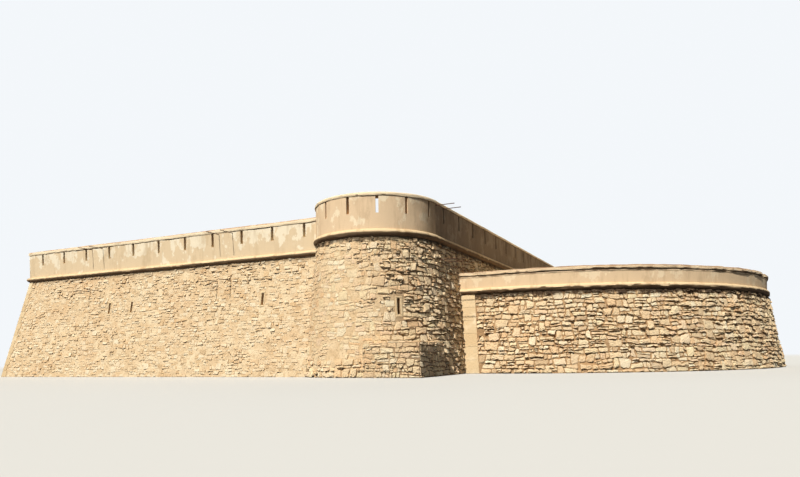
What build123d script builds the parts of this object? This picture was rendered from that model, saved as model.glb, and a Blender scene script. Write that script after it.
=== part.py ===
from build123d import *
import math
import os

# A coastal battery fort at half size, in millimetres: 500 here is one metre of the real fort.
# Open joint left between neighbouring blocks of one course.
JOINT = 0.3

# Plan: two round corner towers on the sea side, joined by the flank wall.
FORT_WIDTH = 14700.0
FORT_LENGTH = 12240.0
TOWER_RADIUS = 1570.0
WALL_THICKNESS = 890.0
PARAPET_THICKNESS = 300.0
BATTER = 0.20
TOWER_BATTER = 0.12

# Heights of the front, back and land walls, one course on the other.
LOW_SCARP = 3040.0
LOW_CORDON = 140.0
LOW_BREAST = 355.0
LOW_LOOPHOLE = 365.0
LOW_COPING = 110.0

# The towers and the flank wall: their scarp stands higher than the others by this step.
HIGH_STEP = 230.0
HIGH_CORDON = 170.0
HIGH_BREAST = 365.0
HIGH_LOOPHOLE = 405.0
HIGH_COPING = 90.0

# The round gun battery in front of the flank wall.
BATTERY_RADIUS = 6050.0
BATTERY_CENTRE = 3150.0
BATTERY_SCARP = 2045.0
BATTERY_CORDON = 150.0
BATTERY_BREAST = 290.0
BATTERY_COPING = 150.0
BATTERY_WALL = 750.0
BATTERY_PARAPET = 460.0
BATTERY_PIER = 410.0
BATTERY_BLOCKS = 12
# The round courses above the scarps are laid in straight lengths, this many to a block.
BLOCK_FLATS = 4

# Mouldings.
CORDON_NOSE = 75.0
COPING_LIP = 25.0
BATTERY_LIP = 40.0
NOSE_FACES = 4

# Loopholes of the parapets.
LOOPHOLE = 75.0
FRONT_LOOPHOLES = 11
FRONT_FIRST = 1655.0
FRONT_LAST = 635.0
FLANK_LOOPHOLES = 13
FLANK_FIRST = 555.0
LAND_LOOPHOLES = 15
TOWER_LOOPHOLES = 5
TOWER_FIRST = 11.9
TOWER_PITCH = 25.85

# Narrow slits low in the scarps.
SLIT = 70.0
SLIT_LEVEL = 1850.0
SLIT_HEIGHT = 310.0
FRONT_SLIT_A = 2835.0
FRONT_SLIT_B = 7515.0
FRONT_SLIT_C = 8415.0
TOWER_SLIT_ANGLE = 48.3
TOWER_SLIT_LEVEL = 1435.0
TOWER_SLIT_HEIGHT = 370.0
TOWER_SECTORS = 6

# Court floor, gateway in the land wall and the square footing of the front tower.
COURT_FLOOR = 850.0
GATE_WIDTH = 800.0
GATE_HEIGHT = 1300.0
FOOTING_HEIGHT = 775.0
FOOTING_DEPTH = 1400.0

# Thin iron brackets in pairs, high and low on the wall.
BRACKET_RADIUS = 10.0
BRACKET_LENGTH = 500.0
BRACKET_PAIR = 460.0
FRONT_BRACKET_A = 4180.0
FRONT_BRACKET_B = 9115.0
FLANK_BRACKET = 265.0
BRACKET_DROP = 45.0
LOW_BRACKET = 2565.0
HIGH_BRACKET = 2820.0

# Levels.
LOW_WALK = LOW_SCARP + LOW_CORDON
LOW_SILL = LOW_WALK + LOW_BREAST
LOW_PARAPET_TOP = LOW_SILL + LOW_LOOPHOLE
LOW_TOP = LOW_PARAPET_TOP + LOW_COPING
HIGH_SCARP = LOW_SCARP + HIGH_STEP
HIGH_WALK = HIGH_SCARP + HIGH_CORDON
HIGH_SILL = HIGH_WALK + HIGH_BREAST
HIGH_PARAPET_TOP = HIGH_SILL + HIGH_LOOPHOLE
HIGH_TOP = HIGH_PARAPET_TOP + HIGH_COPING
BATTERY_WALK = BATTERY_SCARP + BATTERY_CORDON
BATTERY_PARAPET_TOP = BATTERY_WALK + BATTERY_BREAST
BATTERY_TOP = BATTERY_PARAPET_TOP + BATTERY_COPING
GATE_TOP = COURT_FLOOR + GATE_HEIGHT
SLIT_TOP = SLIT_LEVEL + SLIT_HEIGHT
TOWER_SLIT_TOP = TOWER_SLIT_LEVEL + TOWER_SLIT_HEIGHT

# Places. The origin is the middle of the ground outline.
TOWER_BASE = TOWER_RADIUS + TOWER_BATTER * HIGH_SCARP
CHAMBER = TOWER_RADIUS - WALL_THICKNESS
# The flat inner faces of the chamber touch its round from outside.
CHAMBER_CORNER = CHAMBER / math.cos(math.pi / 2 / TOWER_SECTORS)
LAND_BASE = FORT_LENGTH + BATTER * LOW_SCARP
BATTERY_BASE = BATTERY_CENTRE + BATTERY_RADIUS + BATTER * BATTERY_SCARP
TOWER_X = (LAND_BASE - BATTERY_BASE) / 2
LAND_X = TOWER_X - FORT_LENGTH
BATTERY_X = TOWER_X + BATTERY_CENTRE
SIDE_END = BATTERY_X - JOINT
INNER_Y = FORT_WIDTH / 2
FACE_Y = INNER_Y + WALL_THICKNESS
FLANK_X = TOWER_X + TOWER_RADIUS
FLANK_IN = FLANK_X - WALL_THICKNESS
# Further out than any wall, for cuts that pass right through.
BEYOND = LAND_BASE + BATTERY_BASE


def quad(outer_low, outer_high, inner, low, high):
    points = [(inner, low), (outer_low, low), (outer_high, high), (inner, high)]
    if outer_low < inner:
        points.reverse()
    return Polygon(*points, align=None)


def slab(a, b, low, high):
    return quad(b, b, a, low, high)


def nose(inner, tip, low, high):
    # A course whose outer edge is a half-round roll, cut in flats.
    radius = (high - low) / 2
    way = math.copysign(1.0, tip - inner)
    points = [(inner, high), (inner, low)]
    for step in range(NOSE_FACES + 1):
        angle = math.pi * step / NOSE_FACES
        reach = tip + way * radius * (math.sin(angle) - 1)
        points.append((reach, low + radius - radius * math.cos(angle)))
    if way < 0:
        points.reverse()
    return Polygon(*points, align=None)


def run_x(section, start, end):
    face = Plane.YZ.offset(start) * section
    return extrude(face, end - start, dir=(1, 0, 0))


def run_y(section, start, end):
    face = Plane.XZ.offset(-start) * section
    return extrude(face, end - start, dir=(0, 1, 0))


def polar(radius, angle):
    turned = math.radians(angle)
    return (radius * math.cos(turned), radius * math.sin(turned))


def flats(radius, start, end, count):
    # Corners of straight lengths that touch a round of this radius from outside.
    step = (end - start) / count
    corner = radius / math.cos(math.radians(step / 2))
    corners = [polar(corner, start + (place + 0.5) * step) for place in range(count)]
    return [polar(radius, start)] + corners + [polar(radius, end)]


def laid_rim(radius, edges):
    return flats(radius, edges[0], edges[-1], BLOCK_FLATS * (len(edges) - 1))


def laid(section, radius, edges):
    # A course laid along the round in straight lengths, with a mitre at each corner.
    out = polar(1, edges[0])
    across = Plane((0, 0, 0), x_dir=(*out, 0), z_dir=(out[1], -out[0], 0))
    return sweep(across * section, path=Polyline(*laid_rim(radius, edges)), transition=Transition.RIGHT)


def block(x, y, z):
    return Pos((x[0] + x[1]) / 2, (y[0] + y[1]) / 2, (z[0] + z[1]) / 2) * Box(
        x[1] - x[0], y[1] - y[0], z[1] - z[0]
    )


def disc(low_radius, high_radius, low, high):
    if low_radius == high_radius:
        shape = Cylinder(low_radius, high - low, align=(Align.CENTER, Align.CENTER, Align.MIN))
    else:
        shape = Cone(low_radius, high_radius, high - low, align=(Align.CENTER, Align.CENTER, Align.MIN))
    return Pos(0, 0, low) * shape


def spans(start, end, centres, width):
    # The solid stretches left between openings of one width.
    edges = [start]
    for centre in sorted(centres):
        edges += [centre - width / 2, centre + width / 2]
    edges.append(end)
    return list(zip(edges[0::2], edges[1::2]))


def mirrored(shapes):
    return [mirror(shape, about=Plane.XZ) for shape in shapes]


def save(name, shapes):
    solids = []
    for shape in shapes:
        solids += list(shape.solids())
    export_step(Compound(children=solids), f"parts/{name}.step")


def low_face(level):
    return BATTER * (LOW_SCARP - level)


def high_face(level):
    return TOWER_BATTER * (HIGH_SCARP - level)


def battery_face(level):
    return BATTERY_RADIUS + BATTER * (BATTERY_SCARP - level)


# Front wall, and the back wall as its mirror image.


def tower_outline():
    # The full round mass of a tower, to shape the ends of the walls that meet it.
    outline = disc(TOWER_BASE, TOWER_RADIUS, 0, HIGH_SCARP)
    core = TOWER_RADIUS - PARAPET_THICKNESS / 2
    outline += plate(laid_rim(core, tower_edges()), HIGH_SCARP, HIGH_WALK)
    cordon = nose(TOWER_RADIUS - PARAPET_THICKNESS, TOWER_RADIUS + CORDON_NOSE, HIGH_SCARP, HIGH_WALK)
    outline += laid(cordon, TOWER_RADIUS, tower_edges())
    past_end = [tower_end() - ring_step()] + ring_edges()
    outline += plate(laid_rim(TOWER_RADIUS, past_end), HIGH_WALK, HIGH_TOP)
    return Pos(TOWER_X, -INNER_Y, 0) * outline


def low_wall(front_section, land_section):
    # A stretch of the front wall from the land corner to the round tower.
    far = LAND_X - LAND_BASE
    wall = run_x(front_section, far, TOWER_X)
    corner = run_y(land_section, -FACE_Y - LAND_BASE, 0)
    return (wall & corner) - tower_outline()


def low_scarp(low, high):
    front = quad(-FACE_Y - low_face(low), -FACE_Y - low_face(high), -INNER_Y, low, high)
    land = quad(LAND_X - low_face(low), LAND_X - low_face(high), TOWER_X, low, high)
    return low_wall(front, land)


def front_scarp():
    lower = low_scarp(0, SLIT_LEVEL)
    upper = low_scarp(SLIT_TOP, LOW_SCARP)
    course = low_scarp(SLIT_LEVEL + JOINT, SLIT_TOP - JOINT)
    for place in (FRONT_SLIT_A, FRONT_SLIT_B, FRONT_SLIT_C):
        x = TOWER_X - place
        course -= block((x - SLIT / 2, x + SLIT / 2), (-BEYOND, 0), (0, HIGH_TOP))
    return [lower, course, upper]


def front_cordon():
    front = nose(-INNER_Y, -FACE_Y - CORDON_NOSE, LOW_SCARP, LOW_WALK)
    land = nose(TOWER_X, LAND_X - CORDON_NOSE, LOW_SCARP, LOW_WALK)
    return [low_wall(front, land)]


def front_upper(low, high, lip=0.0):
    inner = -FACE_Y + PARAPET_THICKNESS + lip
    front = slab(inner, -FACE_Y - lip, low, high)
    land = slab(TOWER_X, LAND_X - lip, low, high)
    return low_wall(front, land)


def front_merlons():
    wall = front_upper(LOW_SILL, LOW_PARAPET_TOP)
    pitch = (FORT_LENGTH - FRONT_FIRST - FRONT_LAST) / (FRONT_LOOPHOLES - 1)
    for place in range(FRONT_LOOPHOLES):
        x = TOWER_X - FRONT_FIRST - place * pitch
        wall -= block((x - LOOPHOLE / 2, x + LOOPHOLE / 2), (-BEYOND, 0), (0, BEYOND))
    return [wall]


# Land wall between the two corners.


def land_stretch(y, low, high):
    section = quad(LAND_X - low_face(low), LAND_X - low_face(high), LAND_X + WALL_THICKNESS, low, high)
    return run_y(section, y[0], y[1])


def land_scarp():
    pieces = [land_stretch((-INNER_Y, INNER_Y), 0, COURT_FLOOR)]
    for y in spans(-INNER_Y, INNER_Y, [0], GATE_WIDTH):
        pieces.append(land_stretch(y, COURT_FLOOR + JOINT, GATE_TOP - JOINT))
    pieces.append(land_stretch((-INNER_Y, INNER_Y), GATE_TOP, LOW_SCARP))
    return pieces


def land_cordon():
    section = nose(LAND_X + WALL_THICKNESS, LAND_X - CORDON_NOSE, LOW_SCARP, LOW_WALK)
    return [run_y(section, -INNER_Y, INNER_Y)]


def land_upper(y, low, high, lip=0.0):
    section = slab(LAND_X + PARAPET_THICKNESS + lip, LAND_X - lip, low, high)
    return run_y(section, y[0], y[1])


def land_merlons():
    pitch = FORT_WIDTH / LAND_LOOPHOLES
    middle = (LAND_LOOPHOLES - 1) / 2
    centres = [(place - middle) * pitch for place in range(LAND_LOOPHOLES)]
    end = FACE_Y - PARAPET_THICKNESS
    return [land_upper(y, LOW_SILL, LOW_PARAPET_TOP) for y in spans(-end, end, centres, LOOPHOLE)]


def land_parapet():
    end = FACE_Y - PARAPET_THICKNESS
    return [land_upper((-end, end), LOW_WALK, LOW_SILL)]


def land_coping():
    end = FACE_Y - PARAPET_THICKNESS - COPING_LIP
    return [land_upper((-end, end), LOW_PARAPET_TOP, LOW_TOP, COPING_LIP)]


# Flank wall between the two towers, facing the battery.


def flank_scarp():
    section = quad(FLANK_X + high_face(0), FLANK_X, FLANK_IN, 0, HIGH_SCARP)
    return [run_y(section, -INNER_Y, INNER_Y)]


def flank_cordon():
    section = nose(FLANK_IN, FLANK_X + CORDON_NOSE, HIGH_SCARP, HIGH_WALK)
    return [run_y(section, -INNER_Y, INNER_Y)]


def flank_upper(y, low, high, lip=0.0):
    section = slab(FLANK_X - PARAPET_THICKNESS - lip, FLANK_X + lip, low, high)
    return run_y(section, y[0], y[1])


def flank_merlons():
    pitch = (FORT_WIDTH - 2 * FLANK_FIRST) / (FLANK_LOOPHOLES - 1)
    centres = [-INNER_Y + FLANK_FIRST + place * pitch for place in range(FLANK_LOOPHOLES)]
    stretches = spans(-INNER_Y, INNER_Y, centres, LOOPHOLE)
    return [flank_upper(y, HIGH_SILL, HIGH_PARAPET_TOP) for y in stretches]


# Round corner tower, and the back tower as its mirror image.


def apart(edges, inner):
    # Start and end of each block between these angles, with a hair between neighbours.
    slip = math.degrees(JOINT / 2 / inner)
    starts = [edges[0]] + [edge + slip for edge in edges[1:-1]]
    ends = [edge - slip for edge in edges[1:-1]] + [edges[-1]]
    return list(zip(starts, ends))


def plate(points, low, high):
    return extrude(Plane.XY.offset(low) * Polygon(*points, align=None), high - low, dir=(0, 0, 1))


def fan(inner, outer, start, end, low, high):
    # A wedge with a straight inner face, long enough to cut a round wall of that outer radius.
    far = 2 * outer
    corners = [polar(inner, start), polar(far, start), polar(far, end), polar(inner, end)]
    return plate(corners, low, high)


def fans(round_mass, edges, inner, outer, low, high):
    # The round mass cut into neighbouring blocks.
    return [round_mass & fan(inner, outer, start, end, low, high) for start, end in apart(edges, inner)]


def laid_blocks(section, radius, edges, inner):
    # One course parted into blocks; the wedges start well inside its inner face.
    whole = laid(section, radius, edges)
    return [whole & fan(inner / 2, radius, start, end, 0, HIGH_TOP) for start, end in apart(edges, inner)]


def many_sided(radius, edges):
    # The rim of a floor that meets the straight inner faces of a round wall.
    return [polar(radius, angle) for angle in edges]


def at_tower(shapes):
    return [Pos(TOWER_X, -INNER_Y, 0) * shape for shape in shapes]


def tower_edges():
    step = 180.0 / TOWER_SECTORS
    return [-180.0 + step * place for place in range(TOWER_SECTORS + 1)]


def tower_block(start, end, low, high):
    mass = disc(TOWER_RADIUS + high_face(low), TOWER_RADIUS + high_face(high), low, high)
    return mass & fan(CHAMBER_CORNER, TOWER_BASE, start, end, low, high)


def slit_cut(angle, width, low, high):
    cut = block((0, BEYOND), (-width / 2, width / 2), (low, high))
    return Rot(0, 0, -angle) * cut


def tower_scarp():
    blocks = []
    for start, end in apart(tower_edges(), CHAMBER):
        if start < -TOWER_SLIT_ANGLE < end:
            course = tower_block(start, end, TOWER_SLIT_LEVEL + JOINT, TOWER_SLIT_TOP - JOINT)
            blocks.append(tower_block(start, end, 0, TOWER_SLIT_LEVEL))
            blocks.append(course - slit_cut(TOWER_SLIT_ANGLE, SLIT, 0, HIGH_SCARP))
            blocks.append(tower_block(start, end, TOWER_SLIT_TOP, HIGH_SCARP))
        else:
            blocks.append(tower_block(start, end, 0, HIGH_SCARP))
    return at_tower(blocks)


def tower_cordon():
    inner = TOWER_RADIUS - PARAPET_THICKNESS
    section = nose(inner, TOWER_RADIUS + CORDON_NOSE, HIGH_SCARP, HIGH_WALK)
    return at_tower(laid_blocks(section, TOWER_RADIUS, tower_edges(), inner))


def tower_platform():
    inner = TOWER_RADIUS - PARAPET_THICKNESS
    return at_tower([plate(laid_rim(inner, tower_edges()), HIGH_SCARP, HIGH_WALK)])


def tower_keep(low, high):
    # The parapet stops where the inner face of the front parapet meets it.
    limit = -WALL_THICKNESS + PARAPET_THICKNESS
    keep = block((-BEYOND, 0), (-BEYOND, limit), (low, high))
    return keep + block((0, BEYOND), (-BEYOND, 0), (low, high))


def tower_ring(low, high, lip=0.0):
    inner = TOWER_RADIUS - PARAPET_THICKNESS - lip
    section = slab(inner, TOWER_RADIUS + lip, low, high)
    pieces = laid_blocks(section, TOWER_RADIUS, ring_edges(), inner)
    return at_tower([piece & tower_keep(low, high) for piece in pieces])


def tower_end():
    reach = (WALL_THICKNESS - PARAPET_THICKNESS) / (TOWER_RADIUS + COPING_LIP)
    return -180.0 + math.degrees(math.asin(reach))


def ring_step():
    return -tower_end() / (TOWER_SECTORS - 1)


def ring_edges():
    return [-ring_step() * place for place in range(TOWER_SECTORS - 1, -1, -1)]


def tower_merlons():
    section = slab(TOWER_RADIUS - PARAPET_THICKNESS, TOWER_RADIUS, HIGH_SILL, HIGH_PARAPET_TOP)
    wall = laid(section, TOWER_RADIUS, ring_edges()) & tower_keep(HIGH_SILL, HIGH_PARAPET_TOP)
    for place in range(TOWER_LOOPHOLES):
        angle = TOWER_FIRST + TOWER_PITCH * place
        wall -= slit_cut(angle, LOOPHOLE, HIGH_SILL, HIGH_PARAPET_TOP)
    return at_tower([wall])


def tower_footing():
    # A square masonry corner that stands proud of the round foot.
    corner = TOWER_BASE - FOOTING_DEPTH
    box = block((corner, TOWER_BASE), (-TOWER_BASE, -corner), (0, FOOTING_HEIGHT))
    return at_tower([box - disc(TOWER_BASE, TOWER_RADIUS, 0, HIGH_SCARP)])


# Battery: round gun platform with its own scarp, cordon, parapet and coping.


def outside_flank(shape, low, high):
    # Trim to the sloping face of the flank wall.
    start = FLANK_X + high_face(low)
    end = FLANK_X + high_face(high)
    return shape & run_y(quad(start, end, BEYOND, low, high), -BEYOND, BEYOND)


def battery_edges():
    step = 180.0 / BATTERY_BLOCKS
    return [-90.0 + step * place for place in range(BATTERY_BLOCKS + 1)]


def at_battery(shapes):
    return [Pos(BATTERY_X, 0, 0) * shape for shape in shapes]


def battery_side(section, low, high, start, end):
    # The straight stretch from the flank wall to the round, and its mirror image.
    piece = outside_flank(run_x(section, start, end), low, high)
    return [piece] + mirrored([piece])


def pier_end():
    return FLANK_X + high_face(BATTERY_SCARP) + BATTERY_PIER


def battery_scarp():
    inner = BATTERY_RADIUS - BATTERY_WALL
    mass = disc(battery_face(0), BATTERY_RADIUS, 0, BATTERY_SCARP)
    side = quad(-battery_face(0), -BATTERY_RADIUS, -inner, 0, BATTERY_SCARP)
    arcs = fans(mass, battery_edges(), inner, battery_face(0), 0, BATTERY_SCARP)
    return at_battery(arcs) + battery_side(side, 0, BATTERY_SCARP, pier_end(), SIDE_END)


def battery_piers():
    inner = BATTERY_RADIUS - BATTERY_WALL
    side = quad(-battery_face(0), -BATTERY_RADIUS, -inner, 0, BATTERY_SCARP)
    return battery_side(side, 0, BATTERY_SCARP, FLANK_X, pier_end())


def battery_floor(radius, rim, low, high):
    floor = Pos(BATTERY_X, 0, 0) * plate(rim, low, high)
    floor += block((FLANK_X, BATTERY_X), (-radius, radius), (low, high))
    return [outside_flank(floor, low, high)]


def battery_fill():
    inner = BATTERY_RADIUS - BATTERY_WALL
    return battery_floor(inner, many_sided(inner, battery_edges()), 0, BATTERY_SCARP)


def battery_platform():
    inner = BATTERY_RADIUS - BATTERY_PARAPET
    return battery_floor(inner, laid_rim(inner, battery_edges()), BATTERY_SCARP, BATTERY_WALK)


def battery_cordon():
    inner = BATTERY_RADIUS - BATTERY_PARAPET
    tip = BATTERY_RADIUS + CORDON_NOSE
    low, high = BATTERY_SCARP, BATTERY_WALK
    arcs = laid_blocks(nose(inner, tip, low, high), BATTERY_RADIUS, battery_edges(), inner)
    return at_battery(arcs) + battery_side(nose(-inner, -tip, low, high), low, high, FLANK_X, SIDE_END)


def battery_upper(low, high, lip=0.0):
    inner = BATTERY_RADIUS - BATTERY_PARAPET - lip
    outer = BATTERY_RADIUS + lip
    arcs = laid_blocks(slab(inner, outer, low, high), BATTERY_RADIUS, battery_edges(), inner)
    return at_battery(arcs) + battery_side(slab(-inner, -outer, low, high), low, high, FLANK_X, SIDE_END)


# Court inside the walls, with the floor of each tower chamber.


def court_floor():
    floors = at_tower([plate(many_sided(CHAMBER_CORNER, tower_edges()), 0, COURT_FLOOR)])
    court = block(
        (LAND_X + WALL_THICKNESS, FLANK_IN),
        (-INNER_Y + JOINT, INNER_Y - JOINT),
        (0, COURT_FLOOR),
    )
    return [court] + floors + mirrored(floors)


# Iron brackets: thin bars that stick out of the walls.


def bracket():
    # The bar starts inside the wall and is cut off at its face.
    bar = extrude(RegularPolygon(BRACKET_RADIUS, 6), BRACKET_LENGTH, both=True)
    return Rot(0, 90, 0) * bar


def front_brackets():
    wall = run_x(slab(-FACE_Y, 0, LOW_WALK, LOW_PARAPET_TOP), LAND_X, TOWER_X)
    scarp = quad(-FACE_Y - low_face(0), -FACE_Y, 0, 0, LOW_SCARP)
    wall += run_x(scarp, LAND_X, TOWER_X)
    bars = []
    for place in (FRONT_BRACKET_A, FRONT_BRACKET_B):
        for side in (-1, 1):
            x = TOWER_X - place + side * BRACKET_PAIR / 2
            for level in (LOW_PARAPET_TOP - BRACKET_DROP, LOW_BRACKET):
                face = -FACE_Y - max(0, low_face(level))
                bar = Pos(x, face, level) * Rot(0, 0, -90) * bracket()
                bars.append(bar - wall)
    return bars


def flank_brackets():
    wall = run_y(slab(0, FLANK_X, HIGH_WALK, HIGH_PARAPET_TOP), -INNER_Y, 0)
    scarp = quad(FLANK_X + high_face(0), FLANK_X, 0, 0, HIGH_SCARP)
    wall += run_y(scarp, -INNER_Y, 0)
    bars = []
    for side in (-1, 1):
        y = -INNER_Y + FLANK_BRACKET + side * BRACKET_PAIR / 2
        for level in (HIGH_PARAPET_TOP - BRACKET_DROP, HIGH_BRACKET):
            face = FLANK_X + max(0, high_face(level))
            bars.append(Pos(face, y, level) * bracket() - wall)
    return bars


def fort():
    front = {
        "scarp": front_scarp(),
        "cordon": front_cordon(),
        "parapet": [front_upper(LOW_WALK, LOW_SILL)],
        "merlons": front_merlons(),
        "coping": [front_upper(LOW_PARAPET_TOP, LOW_TOP, COPING_LIP)],
    }
    tower = {
        "scarp": tower_scarp(),
        "cordon": tower_cordon(),
        "platform": tower_platform(),
        "parapet": tower_ring(HIGH_WALK, HIGH_SILL),
        "merlons": tower_merlons(),
        "coping": tower_ring(HIGH_PARAPET_TOP, HIGH_TOP, COPING_LIP),
    }
    for part, shapes in front.items():
        save(f"front_wall_{part}", shapes)
        save(f"back_wall_{part}", mirrored(shapes))
    for part, shapes in tower.items():
        save(f"front_tower_{part}", shapes)
        save(f"back_tower_{part}", mirrored(shapes))
    save("front_tower_footing", tower_footing())
    save("front_wall_brackets", front_brackets())
    save("flank_wall_brackets", flank_brackets())
    save("land_wall_scarp", land_scarp())
    save("land_wall_cordon", land_cordon())
    save("land_wall_parapet", land_parapet())
    save("land_wall_merlons", land_merlons())
    save("land_wall_coping", land_coping())
    save("flank_wall_scarp", flank_scarp())
    save("flank_wall_cordon", flank_cordon())
    save("flank_wall_parapet", [flank_upper((-INNER_Y, INNER_Y), HIGH_WALK, HIGH_SILL)])
    save("flank_wall_merlons", flank_merlons())
    save("flank_wall_coping", [flank_upper((-INNER_Y, INNER_Y), HIGH_PARAPET_TOP, HIGH_TOP, COPING_LIP)])
    save("battery_scarp", battery_scarp())
    save("battery_end_piers", battery_piers())
    save("battery_fill", battery_fill())
    save("battery_platform", battery_platform())
    save("battery_cordon", battery_cordon())
    save("battery_parapet", battery_upper(BATTERY_WALK, BATTERY_PARAPET_TOP))
    save("battery_coping", battery_upper(BATTERY_PARAPET_TOP, BATTERY_TOP, BATTERY_LIP))
    save("court_floor", court_floor())


os.makedirs("parts", exist_ok=True)
fort()
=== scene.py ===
import math
import random

import bpy
import numpy as np
from mathutils import Matrix, Vector


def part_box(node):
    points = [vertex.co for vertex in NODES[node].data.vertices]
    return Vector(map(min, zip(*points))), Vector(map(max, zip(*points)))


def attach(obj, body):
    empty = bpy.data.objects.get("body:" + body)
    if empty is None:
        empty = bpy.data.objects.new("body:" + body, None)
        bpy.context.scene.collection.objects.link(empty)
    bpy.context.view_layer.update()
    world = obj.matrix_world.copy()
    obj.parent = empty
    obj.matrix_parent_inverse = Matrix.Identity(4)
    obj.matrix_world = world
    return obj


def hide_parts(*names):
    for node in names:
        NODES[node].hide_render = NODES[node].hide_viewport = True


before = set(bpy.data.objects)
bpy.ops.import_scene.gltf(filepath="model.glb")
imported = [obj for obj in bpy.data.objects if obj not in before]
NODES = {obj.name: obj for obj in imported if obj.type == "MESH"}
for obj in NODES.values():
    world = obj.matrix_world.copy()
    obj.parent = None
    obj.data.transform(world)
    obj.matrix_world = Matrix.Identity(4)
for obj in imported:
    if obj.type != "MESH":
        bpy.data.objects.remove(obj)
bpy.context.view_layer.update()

# The fort in metres of the model, as the CAD has it. The front wall looks to -y and the battery to +x.
TOWER_R = 1.57
WALL, PARAPET, BATTERY_PARAPET = 0.89, 0.30, 0.46
FACE_Y = -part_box("front_wall_parapet")[0].y
INNER_Y = FACE_Y - WALL
LAND_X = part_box("front_wall_parapet")[0].x
TOWER_PLACE = 12.24
TOWER_X = LAND_X + TOWER_PLACE
FLANK_X = TOWER_X + TOWER_R
BATTERY_X = TOWER_X + 3.15
BATTERY_R = 6.05
BATTER, TOWER_BATTER = 0.20, 0.12
LOW_SCARP, LOW_WALK, LOW_SILL, LOW_EAVES, LOW_TOP = 3.04, 3.18, 3.535, 3.90, 4.01
HIGH_SCARP, HIGH_WALK, HIGH_SILL, HIGH_EAVES, HIGH_TOP = 3.27, 3.44, 3.805, 4.21, 4.30
SEA_SCARP, SEA_WALK, SEA_EAVES, SEA_TOP = 2.045, 2.195, 2.485, 2.635
CORDON_NOSE, COPING_LIP = 0.075, 0.025
COURT = 0.85
GATE_HALF, GATE_TALL, LINTEL_TALL, LINTEL_HALF = 0.40, 1.3, 0.24, 0.56
FOOTING_WIDE, FOOTING_TALL = 1.4, 0.775
TOWER_BASE = TOWER_R + TOWER_BATTER * HIGH_SCARP
PIER_END = FLANK_X + TOWER_BATTER * (HIGH_SCARP - SEA_SCARP) + 0.41
SLITS = [TOWER_X - place for place in (2.835, 7.515, 8.415)]
SLIT_LOW, SLIT_HIGH = 1.85, 2.16
TOWER_SLIT = math.radians(-48.3)
TOWER_SLIT_LOW, TOWER_SLIT_HIGH = 1.435, 1.805

# Where the loopholes stand along their parapets, and half their width.
LOOPHOLE = 0.0395
NEAR_TOWER, NEAR_CORNER = 1.655, 0.635
FRONT_PITCH = (TOWER_PLACE - NEAR_TOWER - NEAR_CORNER) / 10
LAND_PITCH = 0.98
FLANK_LONG, FLANK_FIRST = 14.7, 0.555
FLANK_PITCH = (FLANK_LONG - 2 * FLANK_FIRST) / 12
TOWER_FIRST, TOWER_STEP = -11.9, 25.85

# The dressing: how deep it reaches into the walls, its thickness, and how far it keeps below a cordon.
SUNK = 0.012
PLASTER = 0.009
UNDER_CORDON = 0.005
SHORTEST_EDGE, SMALLEST_STONE = 0.008, 4e-4
SHARP = math.radians(38)
SIDES = ((1, "front"), (-1, "back"))


class Line:
    """A straight stretch of wall: a length along it gives a point and the outward direction."""

    def __init__(self, start, along, length):
        self.start, self.along, self.length = np.array(start, float), np.array(along, float), length
        self.out = np.array((along[1], -along[0]), float)

    def at(self, s):
        return self.start + self.along * s[:, None], np.tile(self.out, (len(s), 1))


class Arc:
    """A round stretch of wall; lengths along it are measured at a radius of their own."""

    def __init__(self, centre, radius, start, end, measured_at):
        self.centre, self.radius, self.start = np.array(centre, float), radius, start
        self.turn = math.copysign(1.0, end - start)
        self.measured_at = measured_at
        self.length = abs(end - start) * measured_at

    def at(self, s):
        angle = self.start + self.turn * s / self.measured_at
        out = np.stack([np.cos(angle), np.sin(angle)], 1)
        return self.centre + out * self.radius, out


class Wall:
    """Lines end to end, with a top level and a batter. A lift stands square on the battered face."""

    def __init__(self, lines, top, batter):
        self.lines, self.top, self.batter = lines, top, batter
        self.starts = np.concatenate([[0.0], np.cumsum([line.length for line in lines])])
        self.length = self.starts[-1]

    def line(self, s):
        point, out = np.zeros((len(s), 2)), np.zeros((len(s), 2))
        which = np.clip(np.searchsorted(self.starts, s, side="right") - 1, 0, len(self.lines) - 1)
        for index, line in enumerate(self.lines):
            mine = which == index
            if mine.any():
                point[mine], out[mine] = line.at(s[mine] - self.starts[index])
        return point, out

    def at(self, s, z, lift):
        point, out = self.line(s)
        slope = math.hypot(1, self.batter)
        reach = self.batter * (self.top - z) + lift / slope
        return np.concatenate([point + out * reach[:, None], (z + lift * self.batter / slope)[:, None]], 1)


# The front wall's dressing runs on into the round of the tower, to this far from its centre.
INTO_TOWER = 1.10
FRONT = Wall([Line((LAND_X, -FACE_Y), (1, 0), TOWER_X - INTO_TOWER - LAND_X)], LOW_SCARP, BATTER)
LAND = Wall([Line((LAND_X, FACE_Y), (0, -1), 2 * FACE_Y)], LOW_SCARP, BATTER)
TOWER_MID = TOWER_R + TOWER_BATTER * HIGH_SCARP / 2
SEA_START = math.asin((WALL - PARAPET) / TOWER_R) - math.pi
SEA = Wall([
    Arc((TOWER_X, -INNER_Y), TOWER_R, SEA_START, 0.0, TOWER_MID),
    Line((FLANK_X, -INNER_Y), (0, 1), 2 * INNER_Y),
    Arc((TOWER_X, INNER_Y), TOWER_R, 0.0, -SEA_START, TOWER_MID)], HIGH_SCARP, TOWER_BATTER)
BATTERY_MID = BATTERY_R + BATTER * SEA_SCARP / 2
ROUND = Wall([
    Line((FLANK_X, -BATTERY_R), (1, 0), BATTERY_X - FLANK_X),
    Arc((BATTERY_X, 0), BATTERY_R, -math.pi / 2, math.pi / 2, BATTERY_MID),
    Line((BATTERY_X, BATTERY_R), (-1, 0), BATTERY_X - FLANK_X)], SEA_SCARP, BATTER)
TOWER_END, FLANK_END = SEA.starts[1], SEA.starts[2]


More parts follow.
